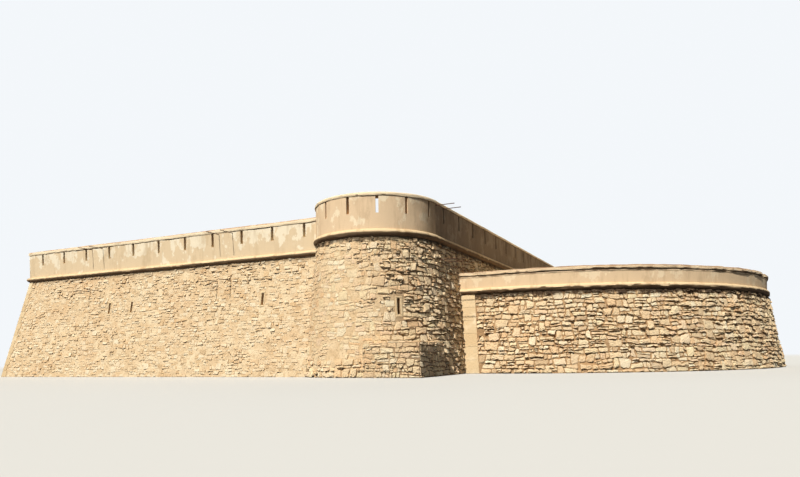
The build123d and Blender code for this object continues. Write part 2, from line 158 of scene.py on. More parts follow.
def new_object(name, data):
    """An object that stands in the scene."""
    made = bpy.data.objects.new(name, data)
    bpy.context.scene.collection.objects.link(made)
    return made


def new_piece(name, points, faces, material, side, replaced=(), smooth=False):
    """A mesh that rides on the fort and may stand for CAD nodes; the side -1 gives its mirror image."""
    if side < 0:
        faces = [face[::-1] for face in faces]
    mesh = bpy.data.meshes.new(name)
    mesh.from_pydata((np.array(points) * (1, side, 1)).tolist(), [], faces)
    mesh.polygons.foreach_set("use_smooth", [smooth] * len(mesh.polygons))
    mesh.update()
    if smooth:
        mesh.set_sharp_from_angle(angle=SHARP)
    piece = new_object(name, mesh)
    mesh.materials.append(material)
    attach(piece, "root")
    if replaced:
        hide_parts(*replaced)
    return piece


def clip(polygon, a, b, c):
    """Keep the part of a polygon where a x + b y is at most c."""
    kept = []
    for index, (x, y) in enumerate(polygon):
        px, py = polygon[index - 1]
        here, before = a * x + b * y - c, a * px + b * py - c
        if (here > 0) != (before > 0):
            part = before / (before - here)
            kept.append((px + (x - px) * part, py + (y - py) * part))
        if here <= 0:
            kept.append((x, y))
    return kept


def between(polygon, low, high):
    """The part of a polygon from one length along the wall to another."""
    for a, c in ((-1, -low), (1, high)):
        if len(polygon) > 2:
            polygon = clip(polygon, a, 0, c)
    return polygon


def inset(polygon, gap):
    """A convex, counterclockwise polygon with every edge moved in."""
    smaller = polygon
    for index, (x, y) in enumerate(polygon):
        px, py = polygon[index - 1]
        ex, ey = x - px, y - py
        size = math.hypot(ex, ey)
        if size < 1e-5:
            continue
        a, b = ey / size, -ex / size
        smaller = clip(smaller, a, b, a * x + b * y - gap)
        if len(smaller) < 3:
            return []
    return smaller


def area_of(polygon):
    """The area of a polygon, below zero where it runs clockwise."""
    return sum(px * y - x * py for (px, py), (x, y) in zip(polygon[-1:] + polygon[:-1], polygon)) / 2


def middle_of(polygon):
    """The mean of a polygon's corners."""
    xs, zs = zip(*polygon)
    return sum(xs) / len(xs), sum(zs) / len(zs)


def tidy(polygon, least):
    """Drop corners that lie closer together than that."""
    kept = []
    for point in polygon:
        if not kept or math.dist(point, kept[-1]) > least:
            kept.append(point)
    if len(kept) > 1 and math.dist(kept[0], kept[-1]) <= least:
        kept.pop()
    return kept


def ragged(rng, polygon):
    """Knock the corners off a stone and notch its long sides."""
    outline = []
    for index, (x, y) in enumerate(polygon):
        px, py = polygon[index - 1]
        size = math.hypot(x - px, y - py)
        start, end = rng.uniform(0.08, 0.24), rng.uniform(0.76, 0.92)
        outline.append((px + (x - px) * start, py + (y - py) * start))
        if size > 0.09:
            part, notch = rng.uniform(0.4, 0.6), rng.uniform(0.0, 0.09)
            outline.append((px + (x - px) * part - (y - py) * notch, py + (y - py) * part + (x - px) * notch))
        outline.append((px + (x - px) * end, py + (y - py) * end))
    return outline


def side_of(polygon, foot, head, keep_left):
    """The part of a stone to one side of a leaning joint."""
    a, b = head[1] - foot[1], foot[0] - head[0]
    c = a * foot[0] + b * foot[1]
    return clip(polygon, a, b, c) if keep_left else clip(polygon, -a, -b, -c)


def keep_out(polygon, boxes):
    """Cut a stone back from boxes (s0, s1, z0, z1), or drop it."""
    for s0, s1, z0, z1 in boxes:
        xs, zs = zip(*polygon)
        if max(xs) <= s0 or min(xs) >= s1 or max(zs) <= z0 or min(zs) >= z1:
            continue
        x, z = middle_of(polygon)
        sides = [(s0 - x, (1, 0, s0)), (x - s1, (-1, 0, -s1)), (z0 - z, (0, 1, z0)), (z - z1, (0, -1, -z1))]
        distance, line = max(sides)
        if distance <= 0:
            return []
        polygon = clip(polygon, *line)
        if len(polygon) < 3:
            return []
    return polygon


def wandering_beds(rng, z0, z1, count, stations, height):
    """The levels between the courses, at stations along a wall; no course is thinner than a third."""
    beds = []
    for row in range(count + 1):
        loose = 0.0 if row in (0, count) else height
        level = z0 + (z1 - z0) * row / count + rng.uniform(-0.12, 0.12) * loose
        line = [level + rng.uniform(-0.40, 0.40) * loose for _ in range(stations)]
        if beds:
            line = [max(own, below + 0.34 * height) for own, below in zip(line, beds[-1])]
        beds.append([min(own, z1) for own in line])
    beds[-1] = [z1] * stations
    return beds


def chipped(rng, part, height, chips):
    """Knock up to three corners off a stone."""
    for _ in range(3):
        if len(part) < 3 or rng.random() > chips:
            continue
        x, z = middle_of(part)
        px, pz = rng.choice(part)
        turn = math.atan2((pz - z) * 1.5, px - x) + rng.uniform(-0.6, 0.6)
        a, b = math.cos(turn), math.sin(turn)
        part = clip(part, a, b, a * px + b * pz - height * rng.uniform(0.04, 0.26))
    return part


def courses(seed, s0, s1, z0, z1, height, longest, split, tall=0.14, chips=0.75, boxes=()):
    """Rubble in rough courses: beds that wander, joints that lean, thin, tall and chipped stones.

    The longest stone is given in course heights; split, tall and chips are how often a stone is so.
    """
    rng = random.Random(seed)
    count = max(2, round((z1 - z0) / height))
    reach = 2.4 * height
    stations = int((s1 - s0) / reach) + 3
    beds = wandering_beds(rng, z0, z1, count, stations, height)

    def corner(row, x):
        place = min(max((x - s0) / reach, 0.0), stations - 1.001)
        index = int(place)
        part = place - index
        part *= part * (3 - 2 * part)
        return x, beds[row][index] * (1 - part) + beds[row][index + 1] * part

    taken = [[] for _ in range(count + 2)]
    for row in range(count):
        foot = s0 - rng.random() * height
        lean = rng.uniform(-0.4, 0.4) * height
        while foot < s1:
            wide = height * (0.7 + (longest - 0.7) * rng.random() ** 1.7)
            rise = 2 if row + 2 <= count and rng.random() < tall else 1
            if rise == 2:
                wide = max(wide, 1.5 * height)
                if any(foot - 2 * height < other[1][0] and other[0][0] < foot + wide + 2 * height
                       for other in taken[row]):
                    rise = 1
            after, tilt = foot + wide, rng.uniform(-0.32, 0.32) * height
            stone = [corner(row, foot), corner(row, after), corner(row + rise, after + rise * tilt),
                     corner(row + rise, foot + rise * lean)]
            if rise == 2:
                taken[row + 1].append(stone)
            foot, lean = after, tilt
            parts = [stone]
            for other in taken[row]:
                if other[1][0] + 2 * height < stone[0][0] or other[0][0] - 2 * height > stone[1][0]:
                    continue
                parts = [side_of(part, other[0], other[3], True) for part in parts] + [
                    side_of(part, other[1], other[2], False) for part in parts]
                parts = [part for part in parts if len(part) > 2]
            if rise == 1 and rng.random() < split:
                level = rng.uniform(0.35, 0.65)
                low, high = [tuple(a[i] + (b[i] - a[i]) * (level + shift) for i in (0, 1))
                             for a, b, shift in ((stone[0], stone[3], rng.uniform(-0.22, 0.22)),
                                                 (stone[1], stone[2], rng.uniform(-0.22, 0.22)))]
                parts = [side_of(part, low, high, side) for part in parts for side in (True, False)]
            for part in parts:
                part = between(chipped(rng, part, height, chips), s0, s1)
                if len(part) > 2:
                    part = keep_out(part, boxes)
                if len(part) > 2:
                    yield part


class Stones:
    """Gathers stones in wall coordinates and turns them into one mesh."""

    def __init__(self, seed):
        self.rng = random.Random(seed)
        self.points, self.faces = [], []

    def close(self, first, count):
        """Join the three outlines of a stone and its middle point by faces."""
        for index in range(count):
            after = (index + 1) % count
            for ring in (0, 1):
                inner, outer = first + ring * count, first + (ring + 1) * count
                self.faces.append((inner + index, inner + after, outer + after, outer + index))
            self.faces.append((first + 2 * count + index, first + 2 * count + after, first + 3 * count))

    def add(self, polygon, gap, lift, small=False, rough=0.3, loss=0.5):
        """One stone: it stands out at its foot, overhangs the joint below and falls back to the top.

        The loss is how much of the lift is gone at the top; a small stone keeps its plain outline.
        """
        rng = self.rng
        if area_of(polygon) < 0:
            polygon = polygon[::-1]
        polygon = tidy(inset(polygon, gap * rng.uniform(0.6, 1.4)), SHORTEST_EDGE)
        if len(polygon) < 3 or area_of(polygon) < SMALLEST_STONE:
            return
        if not small:
            polygon = ragged(rng, polygon)
        xs, zs = zip(*polygon)
        count = len(polygon)
        x, z = middle_of(polygon)
        low, tall = min(zs), max(zs) - min(zs)
        first = len(self.points)
        tilt = rng.uniform(-0.8, 0.8) * lift / (max(xs) - min(xs))
        for px, pz in polygon:
            under = max(0.0, 1 - 2 * (pz - low) / tall)
            self.points.append((px, pz + 0.35 * lift * under, -SUNK))
        for pull, share in ((0.06, 0.82), (0.40, 1.0)):
            for px, pz in polygon:
                inner = pull * rng.uniform(0.5, 1.5)
                qx, qz = px + (x - px) * inner, pz + (z - pz) * inner
                height = share * lift * (1 - loss * (qz - low) / tall)
                height *= rng.uniform(1 - rough, 1 + rough * 0.7)
                self.points.append((qx, qz, max(0.001, height + tilt * (qx - x))))
        self.points.append((x, z, lift * (1 - 0.5 * loss) * rng.uniform(0.9, 1.15)))
        self.close(first, count)

    def block(self, s0, s1, z0, z1, lift, gap, edge=0.012, lean=0.0):
        """A dressed block with a worn edge; the lean is how far its right side falls back at the top."""
        rng = self.rng
        first = len(self.points)
        s0, s1, z0, z1 = s0 + gap, s1 - gap, z0 + gap, z1 - gap
        corners = [(s0, z0), (s1, z0), (s1, z1), (s0, z1)]
        ring = []
        for (x, z), (nx, nz) in zip(corners, corners[1:] + corners[:1]):
            count = max(1, round(math.hypot(nx - x, nz - z) / 0.09))
            ring += [(x + (nx - x) * k / count, z + (nz - z) * k / count) for k in range(count)]
        cx, cz = (s0 + s1) / 2, (z0 + z1) / 2
        self.points += [(x, z, -SUNK) for x, z in ring]
        for x, z in ring:
            wear = edge * rng.uniform(0.3, 0.7)
            way = math.hypot(cx - x, cz - z)
            px, pz = x + (cx - x) / way * wear * 0.6, z + (cz - z) / way * wear * 0.6
            self.points.append((px, pz, lift - wear * 0.8))
        for x, z in ring:
            wear = edge * rng.uniform(1.2, 2.2)
            self.points.append((min(max(x, s0 + wear), s1 - wear), min(max(z, z0 + wear), z1 - wear), lift))
        self.points.append((cx, cz, lift + rng.uniform(0, 0.002)))
        if lean:
            self.points[first:] = [(x - lean * (x - s0) / (s1 - s0) * (z - z0) / (z1 - z0), z, out)
                                   for x, z, out in self.points[first:]]
        self.close(first, len(ring))

    def piece(self, name, wall_at, material, slot, side=1):
        new_piece(name, wall_at(*np.array(self.points).T), self.faces, material, side)


def steps(start, end, size):
    """Stations from start to end, about that far apart."""
    return np.linspace(start, end, max(2, int(round((end - start) / size)) + 1))


def band(parts, wall, cuts, step, profile, wobble, material, side, seed, chips=None, mitre=(0, 0)):
    """A moulding along a wall line, cut into named parts at the given lengths.

    Profile points are (outward, level, share of the wobble); a mitre turns an end round a corner.
    """
    rng = np.random.default_rng(seed)
    stations = [steps(a, b, step) for a, b in zip(cuts, cuts[1:])]
    s = np.concatenate([stations[0]] + [part[1:] for part in stations[1:]])
    outward, level = (np.tile(column, (len(s), 1)) for column in np.array(profile).T[:2])

    def wave(size):
        knots = np.arange(s[0] - size, s[-1] + 2 * size, size)
        return np.interp(s, knots, rng.uniform(-1, 1, len(knots)))

    slow_out, slow_up = wave(0.9), wave(1.1)
    for index, (_, _, share) in enumerate(profile):
        outward[:, index] += wobble * share * (0.6 * wave(0.14) + 0.5 * slow_out)
        level[:, index] += wobble * share * (0.45 * wave(0.17) + 0.5 * slow_up)
    if chips:
        chips(rng, s, outward, level)
    point, out = wall.line(s)
    plan = point[:, None] + out[:, None] * outward[:, :, None]
    if mitre != (0, 0):
        part = ((s - s[0]) / (s[-1] - s[0]))[:, None]
        slide = -mitre[0] * outward * (1 - part) + mitre[1] * outward * part
        plan += wall.lines[0].along * slide[:, :, None]
    points = np.concatenate([plan, level[:, :, None]], 2)
    start, count = 0, len(profile)
    for (name, node), stretch in zip(parts, stations):
        size = len(stretch)
        faces = []
        for a in range(0, (size - 1) * count, count):
            for index in range(count):
                after, b = (index + 1) % count, a + count
                faces.append((a + index, b + index, b + after, a + after))
        faces += [tuple(range(count)), tuple(range(size * count - 1, (size - 1) * count - 1, -1))]
        own = points[start:start + size].reshape(-1, 3)
        new_piece(name, own, faces, material, side, (node,), smooth=True)
        start += size - 1


def coat(name, wall, ends, loopholes, levels, material, seed, side=1):
    """Lime plaster laid on by hand over a parapet: one uneven skin, left open at the loopholes."""
    foot, sill, top = levels
    rng = np.random.default_rng(seed)
    phases = rng.uniform(0, 2 * math.pi, 4)
    cell, turn_in = 0.07, 0.001
    s_line, inner, start = [ends[0]], [], ends[0]
    for centre in sorted(loopholes):
        low, high = centre - LOOPHOLE, centre + LOOPHOLE
        s_line += list(steps(start, low, cell)[1:])
        inner.append(len(s_line))
        s_line += [low + turn_in, high - turn_in, high]
        start = high
    s_line += list(steps(start, ends[1], cell)[1:])
    z_line = list(steps(foot - SUNK, sill, cell))
    lip = len(z_line)
    if loopholes:
        z_line += [sill + turn_in] + list(np.linspace(sill + turn_in, top + 0.006, 7)[1:])
    s, z = np.meshgrid(np.array(s_line), np.array(z_line), indexing="ij")
    lift = PLASTER + np.sin(1.9 * s + phases[0] + 1.3 * np.sin(2.3 * z + phases[1])) * 0.0022
    lift += np.sin(7.3 * s + phases[2] + 3.1 * z) * np.sin(6.1 * z + phases[3] - 2.0 * s) * 0.0016
    lift += rng.uniform(-0.0007, 0.0007, s.shape)
    if loopholes:
        lift[:, lip] = lift[:, lip - 1]
    for left in inner:
        lift[left], lift[left + 1] = lift[left - 1], lift[left + 2]
        lift[left:left + 2, lip:] = -0.004
    worn = rng.uniform(-0.002, 0.0, s.shape)
    for left in inner:
        s[left - 1, lip:] += worn[left - 1, lip:]
        s[left + 2, lip:] -= worn[left + 2, lip:]
    tall = len(z_line)
    faces = []
    for column in range(len(s_line) - 1):
        for row in range(tall - 1):
            if column in inner and row >= lip:
                continue
            a = column * tall + row
            faces.append((a, a + tall, a + tall + 1, a + 1))
    placed = Wall(wall.lines, top, 0.0).at(s.ravel(), z.ravel(), lift.ravel())
    new_piece(name, placed, faces, material, side, smooth=True)


def linear(colour):
    """A colour as it looks on a screen, each part above 10 and up to 255, in linear light."""
    return (*(((part / 255 + 0.055) / 1.055) ** 2.4 for part in colour), 1)


def add_node(tree, kind, output=0, inputs=None, **settings):
    """Add a shader node, set or link its inputs, and return one of its outputs.

    Three numbers are a colour as it looks on a screen, four are one in linear light.
    """
    node = tree.nodes.new("ShaderNode" + kind)
    for name, value in settings.items():
        setattr(node, name, value)
    for name, value in (inputs or {}).items():
        socket = node.inputs[name]
        if isinstance(value, bpy.types.NodeSocket):
            tree.links.new(value, socket)
        elif socket.type == "RGBA" and len(value) == 3:
            socket.default_value = linear(value)
        else:
            socket.default_value = value
    return node.outputs[output]


class Shader:
    """A node material whose colour is built up in layers."""

    def __init__(self, name, colour=None, roughness=0.94, specular=0.1):
        self.colour = colour
        self.material = bpy.data.materials.new(name)
        self.material.use_nodes = True
        self.tree = self.material.node_tree
        self.tree.nodes.clear()
        self.out = self.tree.nodes.new("ShaderNodeOutputMaterial").inputs["Surface"]
        self.surface = self.node("BsdfPrincipled", 0, {
            "Roughness": roughness, "Specular IOR Level": specular})
        self.tree.links.new(self.surface, self.out)
        self.place = self.node("TexCoord", "Object")

    def node(self, *kind_and_inputs, **settings):
        return add_node(self.tree, *kind_and_inputs, **settings)

    def math(self, operation, a, b):
        return self.node("Math", 0, {0: a, 1: b}, operation=operation)

    def ramped(self, value, low, high):
        """0 at low, 1 at high."""
        return self.node("MapRange", "Result", {"Value": value, "From Min": low, "From Max": high},
                         interpolation_type="SMOOTHSTEP")

    def stretched(self, stretch):
        return self.node("Mapping", 0, {"Vector": self.place, "Scale": stretch})

    def noise(self, scale, detail, rough, stretch=(1, 1, 1)):
        return self.node("TexNoise", 0, {
            "Vector": self.stretched(stretch), "Scale": scale, "Detail": detail, "Roughness": rough})

    def cells(self, scale, feature="F1", stretch=(1, 1, 1), output="Distance"):
        inputs = {"Vector": self.stretched(stretch), "Scale": scale}
        return self.node("TexVoronoi", output, inputs, feature=feature)

    def ramp(self, value, stops):
        colour = self.node("ValToRGB", 0, {0: value})
        elements = colour.node.color_ramp.elements
        while len(elements) < len(stops):
            elements.new(0.5)
        for element, (position, tone) in zip(elements, stops):
            element.position = position
            element.color = linear(tone)
        return colour

    def island_tone(self, tones):
        """A tone of its own for every stone."""
        own = self.node("NewGeometry", "Random Per Island")
        return self.ramp(own, [(index / (len(tones) - 1), tone) for index, tone in enumerate(tones)])

    def mix(self, share, a, b):
        return self.node("Mix", 2, {0: share, 6: a, 7: b}, data_type="RGBA")

    def tint(self, value, low, high, share, other):
        """Lay up to that share of another colour over it, where the value rises from low to high."""
        share = self.math("MULTIPLY", self.ramped(value, low, high), share)
        self.colour = self.mix(share, self.colour, other)

    def axis(self, name, vector=None):
        return self.node("SeparateXYZ", name, {0: vector or self.place})

    def facing(self, sign):
        """Up to 1 where a face looks up, or down where the sign is -1."""
        return self.math("MULTIPLY", self.axis("Z", self.node("NewGeometry", "Normal")), sign)

    def centred(self, value, size):
        return self.math("MULTIPLY", self.math("SUBTRACT", value, 0.5), size)

    def uneven(self, axis, noise, size):
        """A coordinate that wanders with the noise, for ragged edges."""
        return self.math("ADD", self.axis(axis), self.centred(noise, size))

    def rust(self):
        """Slow patches where iron in the stone has stained it."""
        self.tint(self.noise(0.55, 7, 0.66, (1, 1, 1.6)), 0.50, 0.66, 0.24, (206, 158, 108))

    def shadow_and_drip(self, top, reach, strength, dark):
        """A ragged dark band that hangs down from a level: painted shadow of the moulding above it, with
        water stains.
        """
        level = self.uneven("Z", self.noise(5, 5, 0.7, (1, 1, 0.5)), 2.2 * reach)
        self.tint(level, top - reach, top - 0.35 * reach, strength, dark)

    def finish(self, height=None, distance=0.0, strength=0.9):
        """Give the surface its colour, and relief from a height where there is one."""
        sockets = self.surface.node.inputs
        self.tree.links.new(self.colour, sockets["Base Color"])
        if height is not None:
            relief = self.node("Bump", 0, {"Strength": strength, "Distance": distance, "Height": height})
            self.tree.links.new(relief, sockets["Normal"])
        return self.material


def stone_material(name, tones, dark, relief, top, shadow_and_drip, reach=0.13):
    """Rubble stones: each has its own tone, grain and stains, with painted shade in pits and on the faces
    that look down.

    Below the given top level hangs a ragged band of painted shadow of the cordon, with water stains in it.
    """
    s = Shader(name)
    s.colour = s.island_tone(tones)
    s.tint(s.noise(1.1, 5, 0.6), 0.45, 0.75, 0.4, (232, 192, 146))
    s.tint(s.noise(0.7, 6, 0.65), 0.50, 0.70, 0.45, (240, 222, 188))
    s.rust()
    grain = s.noise(34, 7, 0.72)
    s.tint(grain, 0.50, 0.70, 0.6, dark)
    # Dark horizontal dashes: painted shade of pits and of the hollows between the stones.
    s.tint(s.noise(13, 5, 0.68, (1, 1, 2.6)), 0.58, 0.68, 0.55, (128, 98, 68))
    # Painted shade: the faces that look down are darkened.
    s.tint(s.facing(-1), 0.1, 0.6, 0.75, (92, 68, 48))
    # Painted shadow of the cordon, with water stains, below the top level.
    s.shadow_and_drip(top, reach, shadow_and_drip, (60, 43, 30))
    return s.finish(s.math("ADD", grain, s.math("MULTIPLY", s.noise(90, 3, 0.6), 0.5)), relief)


def bed_material(name, base, pale, shade, top, shadow_and_drip, deep=None):
    """Mortar behind the rubble; deep is a stretch of x where it darkens: painted shade of deep joints, with
    dirt.
    """
    s = Shader(name, base)
    lumps = s.noise(26, 7, 0.72)
    s.tint(s.noise(3, 5, 0.6), 0.4, 0.66, 1.0, pale)
    s.tint(lumps, 0.5, 0.7, 0.7, shade)
    s.rust()
    # Dark horizontal dashes: painted shade of hollows between the stones.
    s.tint(s.noise(12, 6, 0.7, (1, 1, 2.4)), 0.54, 0.66, 0.6, (134, 104, 72))
    # Painted shade of the deep joints, with dirt, over the stretch deep.
    if deep:
        s.tint(s.uneven("X", s.noise(0.9, 4, 0.6), 1.2), *deep, 0.7, (116, 90, 66))
    # Painted shadow of the cordon, with water stains, below the top level.
    s.shadow_and_drip(top, 0.13, shadow_and_drip, (66, 48, 34))
    return s.finish(lumps, 0.02)


def plaster_material(name, base, patch, stain, levels=(0, 1), patches=0.52, under=(0.1, 0.5), shade_stretch=None):
    """Lime plaster: pale patches high up, rain streaks, and painted shadow of the coping's lip with dirt in
    it.

    Levels run from the foot to the top; under says from which slope on the faces that look down the plaster
    takes painted shade, and the last argument is a stretch of x over which it turns dark, as painted shade.
    """
    foot, top = levels[0], levels[-1]
    s = Shader(name, base, 0.95)
    height = s.math("DIVIDE", s.math("SUBTRACT", s.axis("Z"), foot), top - foot)
    cloud = s.math("ADD", s.noise(2.3, 8, 0.64, (1, 1, 0.75)), s.centred(height, 0.10))
    s.tint(cloud, patches, patches + 0.04, 0.85, patch)
    s.tint(s.noise(1.7, 7, 0.7, (1, 1, 0.6)), 0.54, 0.64, 0.5, stain)
    s.tint(s.noise(3.4, 5, 0.62, (1.8, 1.8, 0.3)), 0.50, 0.68, 0.4, stain)
    fine = s.noise(45, 5, 0.7)
    s.tint(fine, 0.52, 0.75, 0.25, stain)
    # Painted shade over the given stretch of x.
    if shade_stretch:
        s.tint(s.uneven("X", s.noise(1.5, 6, 0.68, (1, 1, 0.5)), 1.1), *shade_stretch, 0.9, (150, 129, 104))
    # Painted shade: the faces that look down are darkened.
    s.tint(s.facing(-1), *under, 0.88, (80, 57, 40))
    # Painted shadow of the coping's lip, with dirt, as a ragged dark line below the top.
    if top > 1:
        s.shadow_and_drip(top, 0.03, 0.5, (112, 86, 62))
    relief = s.math("ADD", s.math("MULTIPLY", s.noise(5, 4, 0.5), 0.8), s.math("MULTIPLY", fine, 0.25))
    return s.finish(relief, 0.02, 0.5)


def dressed_material(name, tones, dark, relief=0.02, crown=None):
    """Dressed or rendered stone; a crown is the colour of the weathered upper edges."""
    s = Shader(name)
    s.colour = s.island_tone(tones)
    s.tint(s.noise(30, 6, 0.65), 0.52, 0.75, 0.45, dark)
    s.tint(s.noise(2.2, 5, 0.6), 0.5, 0.7, 0.5, (250, 232, 198))
    # Painted shade: the faces that look down are darkened.
    s.tint(s.facing(-1), 0.1, 0.6, 0.8, (84, 60, 42))
    if crown:
        worn = s.math("ADD", s.math("MULTIPLY", s.ramped(s.noise(2.1, 7, 0.7), 0.36, 0.62), 0.4), 0.42)
        s.tint(s.facing(1), 0.25, 0.6, worn, crown)
    return s.finish(s.noise(22, 6, 0.7), relief)


def earth_material():
    """Trodden earth with gravel in it."""
    s = Shader("court_earth", (212, 190, 152), 0.97)
    s.tint(s.noise(0.9, 7, 0.62), 0.42, 0.62, 1.0, (222, 200, 164))
    gravel = s.cells(24)
    pebbles = s.math("SUBTRACT", 1.0, s.ramped(gravel, 0.12, 0.26))
    s.colour = s.mix(s.math("MULTIPLY", pebbles, 0.55), s.colour, (232, 218, 190))
    height = s.math("ADD", s.noise(7, 7, 0.7), s.math("MULTIPLY", s.math("SUBTRACT", 1.0, gravel), 0.25))
    return s.finish(height, 0.05, 0.8)


def paving_material():
    """Broken paving with sandy joints."""
    s = Shader("platform_paving")
    flat = (1, 1, 0.05)
    edge = s.cells(3.6, "DISTANCE_TO_EDGE", flat)
    tone = s.node("SeparateColor", 0, {0: s.cells(3.6, "F1", flat, "Color")})
    s.colour = s.mix(tone, (194, 170, 134), (222, 200, 164))
    s.tint(s.noise(1.2, 6, 0.6), 0.45, 0.7, 1.0, (206, 182, 142))
    s.colour = s.mix(s.ramped(edge, 0.01, 0.04), (150, 126, 92), s.colour)
    height = s.math("ADD", s.math("MINIMUM", edge, 0.05), s.math("MULTIPLY", s.noise(18, 6, 0.7), 0.06))
    return s.finish(height, 0.3, 0.7)


def iron_material():
    s = Shader("rusty_iron", None, 0.75, 0.3)
    rust = s.noise(60, 6, 0.7)
    s.colour = s.ramp(rust, [(0.3, (60, 46, 38)), (0.55, (98, 66, 46)), (0.75, (140, 92, 60))])
    s.surface.node.inputs["Metallic"].default_value = 0.3
    return s.finish(rust, 0.004, 0.8)


PALE_TONES = (
    (208, 177, 135), (230, 202, 160), (240, 219, 182), (222, 188, 142), (244, 227, 193), (228, 198, 156))
ROUGH_TONES = (
    (212, 180, 139), (244, 211, 165), (250, 228, 186), (240, 199, 150), (254, 238, 201), (246, 212, 171),
    (252, 230, 184), (233, 203, 160), (250, 224, 180))
ROUGH_GRAIN = (168, 132, 94)
FINE = stone_material("fine_rubble_stones", PALE_TONES, (172, 136, 96), 0.026, LOW_SCARP, 0.35)
COARSE = stone_material("coarse_rubble_stones", ROUGH_TONES[1:], ROUGH_GRAIN, 0.032, HIGH_SCARP, 0.85, 0.15)
SHORE = stone_material("battery_rubble_stones", ROUGH_TONES, ROUGH_GRAIN, 0.032, SEA_SCARP, 0.95, 0.17)
FINE_BED = bed_material("lime_mortar", (222, 192, 150), (236, 213, 174), (168, 132, 92), LOW_SCARP, 0.4)
# Over the seaward side of the towers this mortar darkens: painted shade of its deep joints, with dirt.
COARSE_BED = bed_material("deep_mortar", (222, 190, 146), (236, 208, 166), (164, 128, 90), HIGH_SCARP, 0.8,
                          (TOWER_X + 0.5, TOWER_X + 1.6))
SHORE_BED = bed_material("battery_mortar", (168, 134, 96), (196, 160, 118), (96, 72, 50), SEA_SCARP, 0.9)
LOW_LEVELS, HIGH_LEVELS = (LOW_WALK, LOW_SILL, LOW_EAVES), (HIGH_WALK, HIGH_SILL, HIGH_EAVES)
SEA_LEVELS = (SEA_WALK, SEA_EAVES, SEA_EAVES)
LOW_PLASTER = plaster_material("front_plaster", (224, 199, 161), (243, 228, 198), (200, 174, 136), LOW_LEVELS)
# The tower's plaster darkens towards the flank: painted shade where its round turns away from the sun.
TOWER_PLASTER = plaster_material("tower_plaster", (230, 200, 161), (246, 226, 190), (198, 168, 132),
                                 HIGH_LEVELS, 0.56, shade_stretch=(TOWER_X + 1.15, FLANK_X + 0.1))
# A darker copy of the plaster for the flank wall: painted shade, with some weathering.
FLANK_PLASTER = plaster_material("flank_plaster", (142, 122, 99), (162, 142, 117), (112, 94, 75), HIGH_LEVELS)
SEA_PLASTER = plaster_material("battery_plaster", (228, 198, 158), (240, 216, 178), (200, 170, 132),
                               SEA_LEVELS, 0.55)
# The lower half of the cordon is darkened: painted shade.
CORDON = plaster_material("cordon_plaster", (214, 180, 134), (232, 204, 160), (170, 134, 94),
                          under=(-0.25, 0.1))
COPING = dressed_material(
    "coping_lime", ((230, 204, 164), (240, 220, 184)), (190, 158, 120), crown=(168, 122, 84))
TOWER_COPING = dressed_material("tower_coping_lime", ((230, 202, 162), (240, 218, 180)), (188, 156, 118))
SEA_COPING = dressed_material(
    "battery_coping_stone", ((226, 194, 152), (236, 208, 168)), (166, 126, 92), 0.03, (132, 88, 60))
ASHLAR = dressed_material("ashlar_blocks", ((212, 182, 138), (224, 198, 156)), (170, 136, 98))
FLAGS = dressed_material(
    "flagstones", ((206, 180, 142), (226, 202, 164), (236, 216, 182), (214, 186, 148)), (168, 138, 102))
EARTH = earth_material()

for material, places, kinds in (
        (FINE_BED, "front_wall back_wall land_wall", "scarp"),
        (COARSE_BED, "front_tower back_tower flank_wall", "scarp"),
        (COARSE_BED, "front_tower", "footing"),
        (SHORE_BED, "battery", "scarp"),
        (LOW_PLASTER, "front_wall back_wall land_wall", "parapet merlons"),
        (TOWER_PLASTER, "front_tower back_tower", "parapet merlons"),
        (FLANK_PLASTER, "flank_wall", "parapet merlons"),
        (SEA_PLASTER, "battery", "parapet"),
        (ASHLAR, "battery", "end_piers"),
        (paving_material(), "front_tower back_tower battery", "platform"),
        (EARTH, "court", "floor"),
        (EARTH, "battery", "fill"),
        (iron_material(), "front_wall flank_wall", "brackets")):
    for name in [f"{place}_{kind}" for place in places.split() for kind in kinds.split()]:
        if not NODES[name].material_slots:
            NODES[name].data.materials.append(material)
        for slot in NODES[name].material_slots:
            slot.material = material

# The corner blocks: their height, how far they reach along the walls, and how much the long ones add.
QUOIN, CORNER, TOOTH = 0.19, 0.15, 0.05
QUOINS = round(LOW_SCARP / QUOIN)
# How far the foot of a low wall stands out, and a length beyond every corner.
SPREAD, BEYOND = 0.61, 0.7
# A slit's dressed frame: half its opening, half its width and the height of its head and its sill.
JAMB, FRAME, HEAD = 0.036, 0.075, 0.05


def corner_reach(level, long):
    """How far a corner block runs along the wall; the corner leans with the batter."""
    return CORNER + (TOOTH if long else 0.0) - BATTER * (LOW_SCARP - level)


def quoin_boxes(long, length=None):
    """The space of the corner blocks at the start of a wall, or at its far end."""
    boxes = []
    for index in range(QUOINS):
        z, top = index * QUOIN, (index + 1) * QUOIN
        reach = corner_reach((z + top) / 2, long) + 0.002
        ends = (-BEYOND, reach) if length is None else (length - reach, length + BEYOND)
        boxes.append((*ends, z, top))
        long = not long
    return boxes


def patchy(s, z, seed):
    """Slow ups and downs along a wall, 0 to 1."""
    slow = math.sin(1.1 * s + seed + 1.7 * math.sin(1.9 * z + 0.6 * s))
    return 0.5 + 0.25 * (slow + math.sin(2.7 * s - 3.1 * z + 2.0 * seed))


def low_stones(seed, length, boxes):
    """Fine rubble of a wall with dressed corners."""
    made = Stones(seed)
    for polygon in courses(seed, -SPREAD, length, 0.0, LOW_SCARP - UNDER_CORDON, height=0.072, longest=3.2,
                           split=0.15, tall=0.10, boxes=boxes):
        s, z = polygon[0]
        rough = min(1.0, 0.2 + 0.6 * patchy(s, z, seed) + 0.3 * (z > 2.5))
        if made.rng.random() < 0.36 - 0.16 * rough:
            continue
        lift = made.rng.uniform(0.002, 0.010) + (0.25 + rough) * 0.036 * made.rng.random() ** 1.8
        made.add(polygon, 0.001 + 0.004 * rough, lift, small=True, loss=0.9)
    return made


